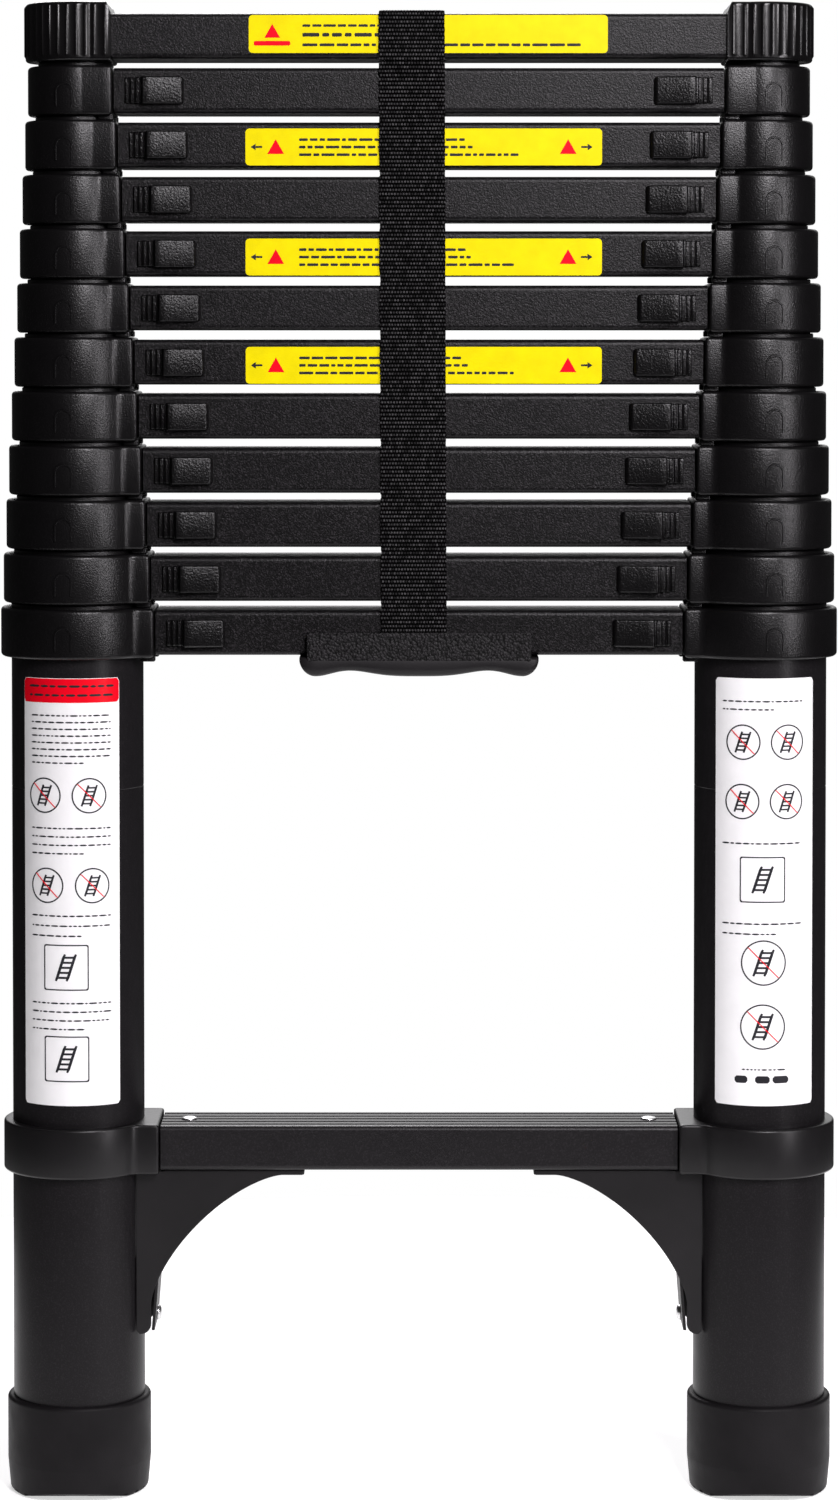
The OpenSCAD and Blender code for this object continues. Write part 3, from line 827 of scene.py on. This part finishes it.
def strap():
    r = 2.5 * MM
    y = STRAP_Y
    run = [(-y, STRAP_PART)] + arc(-y + r, STRAP_LOW + r, r, 180, 270, 6)
    run += arc(y - r, STRAP_LOW + r, r, 270, 360, 6) + [(y, STRAP_PART)]
    woven_band("strap", run, "base", ["carry_strap"], strap_lean)
    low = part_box("strap_top_flap")[0].z
    flap = [(y, low)] + arc(y - r, STRAP_HIGH - r, r, 0, 90, 6)
    flap += arc(-y + r, STRAP_HIGH - r, r, 90, 180, 6) + [(-y, low)]
    woven_band("strap_over_top_rung", flap, body(TOP), ["strap_top_flap"], strap_lean)


strap()

# ---- Labels, with plain bars and shapes only ----

FILM = 0.12 * MM

# How far a print on a tube reaches in under its own face, and the width of the strips that it bends in.
FILM_ROOT = 1.5 * FILM
STRIP = 1.2 * MM


def bar(x0, x1, z, thick):
    return rounded(x0, z - thick / 2, x1, z + thick / 2, 0.3 * thick, 2)


def row_of_bars(x0, x1, z, thick, rng):
    """Short plain bars in place of a line of words."""
    outlines = []
    while x0 < x1 - thick:
        end = min(x1, x0 + rng.uniform(1.5, 5.5) * thick)
        outlines.append(bar(x0, end, z, thick))
        x0 = end + 0.8 * thick
    return outlines


def triangle(cx, low, side):
    return [(cx - side / 2, low), (cx + side / 2, low), (cx, low + 0.88 * side)]


def arrow(tip, z, way):
    """A shaft and a head. way is the direction it points along x."""
    length, head, half = 6.6 * MM, 2.8 * MM, 1.9 * MM
    back = tip - way * length
    neck = tip - way * head
    point = [(neck, z - half), (tip, z), (neck, z + half)]
    return [bar(min(back, neck), max(back, neck), z, 1.1 * MM), point[::way]]


def film(outline, layer):
    """A thin flat print on the front of a rung. Higher layers lie on lower ones."""
    y = -RUNG_HALF_Y - layer * FILM
    return prism(outline, y - FILM, y + FILM / 2)


def rung_label(level, low, high, left, right, red, ink):
    """A yellow label along the front of a rung, low and high measured from the rung's middle."""
    z = level_z(level)
    name = f"label_level_{level}"
    paper = film(rounded(left, z + low, right, z + high, 2.3 * MM), 0)
    piece(name, paper, YELLOW, body(level))
    for part, outlines, material in (("signs", red, RED), ("bars", ink, INK)):
        prints = merge(*(film([(x, z + dz) for x, dz in outline], 1) for outline in outlines))
        piece(f"{name}_{part}", prints, material, body(level))


def top_rung_label():
    left, right = -98.3 * MM, 109 * MM
    rng = random.Random(TOP)
    red = [triangle(left + 13.6 * MM, -1.1 * MM, 9 * MM)]
    red.append(bar(left + 3 * MM, left + 24 * MM, -4.3 * MM, 2.6 * MM))
    ink = row_of_bars(left + 31 * MM, -10 * MM, 5.9 * MM, 1.4 * MM, rng)
    ink += row_of_bars(left + 31 * MM, -10 * MM, 0.6 * MM, 2.1 * MM, rng)
    ink += row_of_bars(left + 31 * MM, right - 13 * MM, -5.2 * MM, 1.6 * MM, rng)
    rung_label(TOP, -9.9 * MM, 12 * MM, left, right, red, ink)


def lower_rung_label(level, high):
    left, right, height = -100.3 * MM, 105.8 * MM, 21.3 * MM
    rng = random.Random(level)
    middle = high - height / 2
    red = [triangle(x, middle - 4 * MM, 9.6 * MM) for x in (left + 17.5 * MM, right - 19.6 * MM)]
    ink = arrow(left + 3.1 * MM, middle, -1) + arrow(right - 5.5 * MM, middle, 1)
    for drop, end in ((6.4 * MM, 27 * MM), (10.7 * MM, 31 * MM), (15.1 * MM, 57.5 * MM)):
        ink += row_of_bars(left + 31 * MM, end, high - drop, 1.5 * MM, rng)
    rung_label(level, high - height, high, left, right, red, ink)


top_rung_label()
for labelled, label_high in ((9, 9.4 * MM), (7, 8.7 * MM), (5, 8.9 * MM)):
    lower_rung_label(labelled, label_high)


def on_tube(x, z, layer, under=0.0):
    """A point on the front of the base tube. x is measured round the tube."""
    r = TUBE_R + (layer + 1) * FILM - under
    return (r * math.sin(x / TUBE_R), -r * math.cos(x / TUBE_R), z)


def wrapped(outline, layer):
    """A print with a convex outline, built of upright strips so that it bends with the tube."""
    left, right = min(x for x, _ in outline), max(x for x, _ in outline)
    count = max(2, math.ceil((right - left) / STRIP))

    def reach(x):
        zs = []
        for (xa, za), (xb, zb) in zip(outline, outline[1:] + outline[:1]):
            if xa != xb and min(xa, xb) <= x <= max(xa, xb):
                zs.append(lerp(za, zb, (x - xa) / (xb - xa)))
        return min(zs), max(zs)

    columns = []
    margin = 0.001 * MM
    for x in steps(left + margin, right - margin, count):
        low, high = reach(x)
        columns.append([on_tube(x, low, layer), on_tube(x, high, layer),
                        on_tube(x, high, layer, FILM_ROOT), on_tube(x, low, layer, FILM_ROOT)])
    return loft(columns)


def wrapped_frame(outline, centre, width, layer):
    """A thin line round an outline, bent with the tube."""
    cx, cz = centre
    k = 1 - width / max(x - cx for x, _ in outline)
    inner = [(cx + (x - cx) * k, cz + (z - cz) * k) for x, z in outline]
    loops = [[on_tube(x, z, layer, under) for x, z in points]
             for points, under in ((outline, 0), (inner, 0), (inner, FILM_ROOT), (outline, FILM_ROOT))]
    return loft(loops, ring=True)


def round_frame(cx, cz, r, layer):
    return wrapped_frame(arc(cx, cz, r, 0, 360, 48)[:-1], (cx, cz), 0.8 * MM, layer)


def square_frame(cx, cz, half, layer):
    corners = rounded(cx - half, cz - half, cx + half, cz + half, 1.2 * MM, 3)
    outline = []
    for (xa, za), (xb, zb) in zip(corners, corners[1:] + corners[:1]):
        pieces = max(1, math.ceil(math.hypot(xb - xa, zb - za) / STRIP))
        outline += [(lerp(xa, xb, i / pieces), lerp(za, zb, i / pieces)) for i in range(pieces)]
    return wrapped_frame(outline, (cx, cz), 0.7 * MM, layer)


def slanted_bar(cx, cz, length, thick, degrees):
    c, d = math.cos(math.radians(degrees)), math.sin(math.radians(degrees))
    far, out = length / 2, thick / 2
    corners = ((-far, -out), (far, -out), (far, out), (-far, out))
    return [(cx + a * c - b * d, cz + a * d + b * c) for a, b in corners]


def plain_sign(cx, cz, r):
    """Outlines of a generic ladder shape: two leaning bars with short bars between them."""
    lean = 72
    c, d = math.cos(math.radians(lean)), math.sin(math.radians(lean))
    half_w, half_l = 0.24 * r, 0.62 * r
    outlines = [slanted_bar(cx + side * half_w, cz, 2 * half_l, 0.12 * r, lean) for side in SIDES]
    for t in steps(-0.75, 0.75, 4):
        outlines.append(slanted_bar(cx + t * half_l * c, cz + t * half_l * d, 2 * half_w, 0.09 * r, 0))
    return outlines


def tube_label(side, centre, half_width, band, rounds, squares, rows):
    """A white label round the front of a base tube. Heights are measured down from its top."""
    name = "left" if side < 0 else "right"
    top, height = BASE_Z - 25.2 * MM, 248 * MM
    rng = random.Random(name)

    def round_tube(x):
        """How far round the tube a point lies that is seen at x from the front."""
        return TUBE_R * math.asin(x / TUBE_R)

    left, right = round_tube(centre - half_width), round_tube(centre + half_width)
    red, ink = [], []
    if band:
        head = rounded(left + 0.3 * MM, top - band, right - 0.3 * MM, top - 0.3 * MM, 1.8 * MM)
        red.append(wrapped(head, 1))
        for down in (4.6 * MM, 9.8 * MM):
            bars = row_of_bars(left + 5 * MM, right - 4 * MM, top - down, 1.3 * MM, rng)
            ink += [wrapped(outline, 2) for outline in bars]
    for x, down, r in rounds:
        cx, cz = round_tube(x), top - down
        red.append(wrapped(slanted_bar(cx, cz, 2 * r - 0.6 * MM, 0.55 * MM, -45), 2))
        ink.append(round_frame(cx, cz, r, 1))
        ink += [wrapped(outline, 1) for outline in plain_sign(cx, cz, r)]
    for x, down in squares:
        cx, cz, half = round_tube(x), top - down, 13.3 * MM
        ink.append(square_frame(cx, cz, half, 1))
        ink += [wrapped(outline, 1) for outline in plain_sign(cx, cz, half)]
    for down, x0, x1, thick in rows:
        bars = row_of_bars(round_tube(x0), round_tube(x1), top - down, thick, rng)
        ink += [wrapped(outline, 1) for outline in bars]
    paper = wrapped(rounded(left, top - height, right, top, 2 * MM), 0)
    layers = (("paper", paper, WHITE), ("signs", merge(*red), RED), ("bars", merge(*ink), INK))
    for part, shape, material in layers:
        turned = ([(-side * x, y, z) for x, y, z in shape[0]], shape[1])
        piece(f"tube_label_{name}_{part}", place(side, turned), material, "base")


def text_block(first, last, count, x0=-24.0, x1=21.5, thick=0.9):
    """Rows from one drop below the label's top to another, in millimetres, the last of them short."""
    drops = steps(first, last, max(1, count - 1))[:count]
    rows = [[down * MM, x0 * MM, x1 * MM, thick * MM] for down in drops]
    if count > 1:
        rows[-1][2] *= 0.3
    return rows


def tube_labels():
    small, large = 10.3 * MM, 13.2 * MM
    signs = ((-16.6, 67.9), (9.6, 67.9), (-15.3, 120.1), (11.3, 120.1))
    rounds = [(x * MM, down * MM, small) for x, down in signs]
    squares = [(-4.2 * MM, 167.6 * MM), (-4 * MM, 220.8 * MM)]
    rows = text_block(21.6, 49, 8) + text_block(86.9, 101.5, 4)
    rows += text_block(137.7, 149.3, 3) + text_block(188.4, 203.5, 4)
    tube_label(-1, -1.2 * MM, 27.4 * MM, 14.1 * MM, rounds, squares, rows)
    signs = ((-12.9, 37), (13, 37), (-13.4, 71.4), (12.5, 71.4))
    rounds = [(x * MM, down * MM, small) for x, down in signs]
    rounds += [(-0.8 * MM, 164.8 * MM, large), (-1.2 * MM, 202 * MM, large)]
    rows = text_block(13.4, 18.1, 2) + text_block(95.7, 95.7, 1) + text_block(142.3, 148.2, 2)
    rows += text_block(226.9, 226.9, 1, -13, 12)
    for word_start, word_end in ((-17, -7.5), (-5.5, 2.9), (4.6, 13.8)):
        rows += text_block(232.7, 232.7, 1, word_start, word_end, 4.2)
    tube_label(1, 0.2 * MM, 28 * MM, 0, rounds, [(-1.5 * MM, 116.6 * MM)], rows)


tube_labels()

# ---- Floor, backdrop and light ----

FLOOR_REACH, FLOOR_BACK, FLOOR_GLOW = 0.7, 0.1, 0.65
ROOM_FRONT, ROOM_BACK, ROOM_RIGHT = 0.03, 1.4, 0.08
BEHIND_FADE, SIDE_FADE, LOW_FADE = (0.0, 0.7), (0.15, 0.45), (0.05, 0.17)
LIT_HEIGHT = 0.55
LIGHT_COLOUR = (1, 0.96, 1)


def stage():
    """A pale floor that glows a little, like the lit sweep of a studio."""
    mesh = bpy.data.meshes.new("floor")
    rim = arc(0, FLOOR_BACK, FLOOR_REACH, 0, 360, 96)[:-1]
    mesh.from_pydata([(x, y, 0) for x, y in rim], [], [tuple(range(len(rim)))])
    nodes = Nodes("floor", 0.9, gloss=0.1)
    pale = nodes.ramp(nodes.noise(2, detail=2), 0.3, 0.7, grey(0.88), grey(0.9))
    nodes.colour(pale)
    nodes.link(pale, nodes.shader.inputs["Emission Color"])
    nodes.shader.inputs["Emission Strength"].default_value = FLOOR_GLOW
    mesh.materials.append(nodes.material)
    floor = bpy.data.objects.new("floor", mesh)
    bpy.context.scene.collection.objects.link(floor)


def studio_world():
    """White to look at. As a light, the room is bright behind the ladder and dim elsewhere."""
    world = bpy.data.worlds.new("studio")
    world.use_nodes = True
    tree = world.node_tree
    backdrop = tree.nodes["Background"]
    backdrop.inputs["Color"].default_value = (1, 1, 1, 1)
    towards = tree.nodes.new("ShaderNodeSeparateXYZ")
    tree.links.new(tree.nodes.new("ShaderNodeTexCoord").outputs["Generated"], towards.inputs["Vector"])

    def faded(source, span, low, high):
        node = tree.nodes.new("ShaderNodeMapRange")
        node.inputs["From Min"].default_value = span[0]
        node.inputs["From Max"].default_value = span[1]
        for socket, value in (("To Min", low), ("To Max", high)):
            if isinstance(value, float):
                node.inputs[socket].default_value = value
            else:
                tree.links.new(value, node.inputs[socket])
        tree.links.new(source, node.inputs["Value"])
        return node.outputs["Result"]

    def calculated(operation, source, value=0.0):
        node = tree.nodes.new("ShaderNodeMath")
        node.operation = operation
        node.inputs[1].default_value = value
        tree.links.new(source, node.inputs[0])
        return node.outputs["Value"]

    behind = faded(towards.outputs["Y"], BEHIND_FADE, ROOM_FRONT, ROOM_BACK)
    aside = calculated("ABSOLUTE", calculated("SUBTRACT", towards.outputs["X"], ROOM_RIGHT))
    straight = faded(aside, SIDE_FADE, behind, ROOM_FRONT)
    glow = faded(towards.outputs["Z"], LOW_FADE, ROOM_FRONT, straight)
    room = tree.nodes.new("ShaderNodeBackground")
    room.inputs["Color"].default_value = (1, 1, 1, 1)
    tree.links.new(glow, room.inputs["Strength"])
    seen = tree.nodes.new("ShaderNodeLightPath")
    mix = tree.nodes.new("ShaderNodeMixShader")
    tree.links.new(seen.outputs["Is Camera Ray"], mix.inputs["Fac"])
    tree.links.new(room.outputs["Background"], mix.inputs[1])
    tree.links.new(backdrop.outputs["Background"], mix.inputs[2])
    tree.links.new(mix.outputs["Shader"], tree.nodes["World Output"].inputs["Surface"])
    bpy.context.scene.world = world


def area_light(name, azimuth, elevation, distance, size, power):
    """A soft light aimed at the ladder. azimuth is measured from the front, to the right."""
    data = bpy.data.lights.new(name, "AREA")
    data.shape = "RECTANGLE"
    data.size, data.size_y = size
    data.energy = power
    data.color = LIGHT_COLOUR
    light = bpy.data.objects.new(name, data)
    a, e = math.radians(azimuth), math.radians(elevation)
    away = Vector((math.sin(a) * math.cos(e), -math.cos(a) * math.cos(e), math.sin(e)))
    light.location = Vector((0, 0, LIT_HEIGHT)) + away * distance
    light.rotation_euler = (-away).to_track_quat("-Z", "Y").to_euler()
    bpy.context.scene.collection.objects.link(light)


stage()
studio_world()
bpy.context.scene.view_settings.view_transform = "Standard"
area_light("key", azimuth=16, elevation=29, distance=1.9, size=(0.3, 0.9), power=34)
area_light("side", azimuth=46, elevation=6, distance=2.2, size=(0.2, 1.2), power=19)
area_light("back", azimuth=186, elevation=35, distance=2.2, size=(0.8, 0.9), power=23.5)
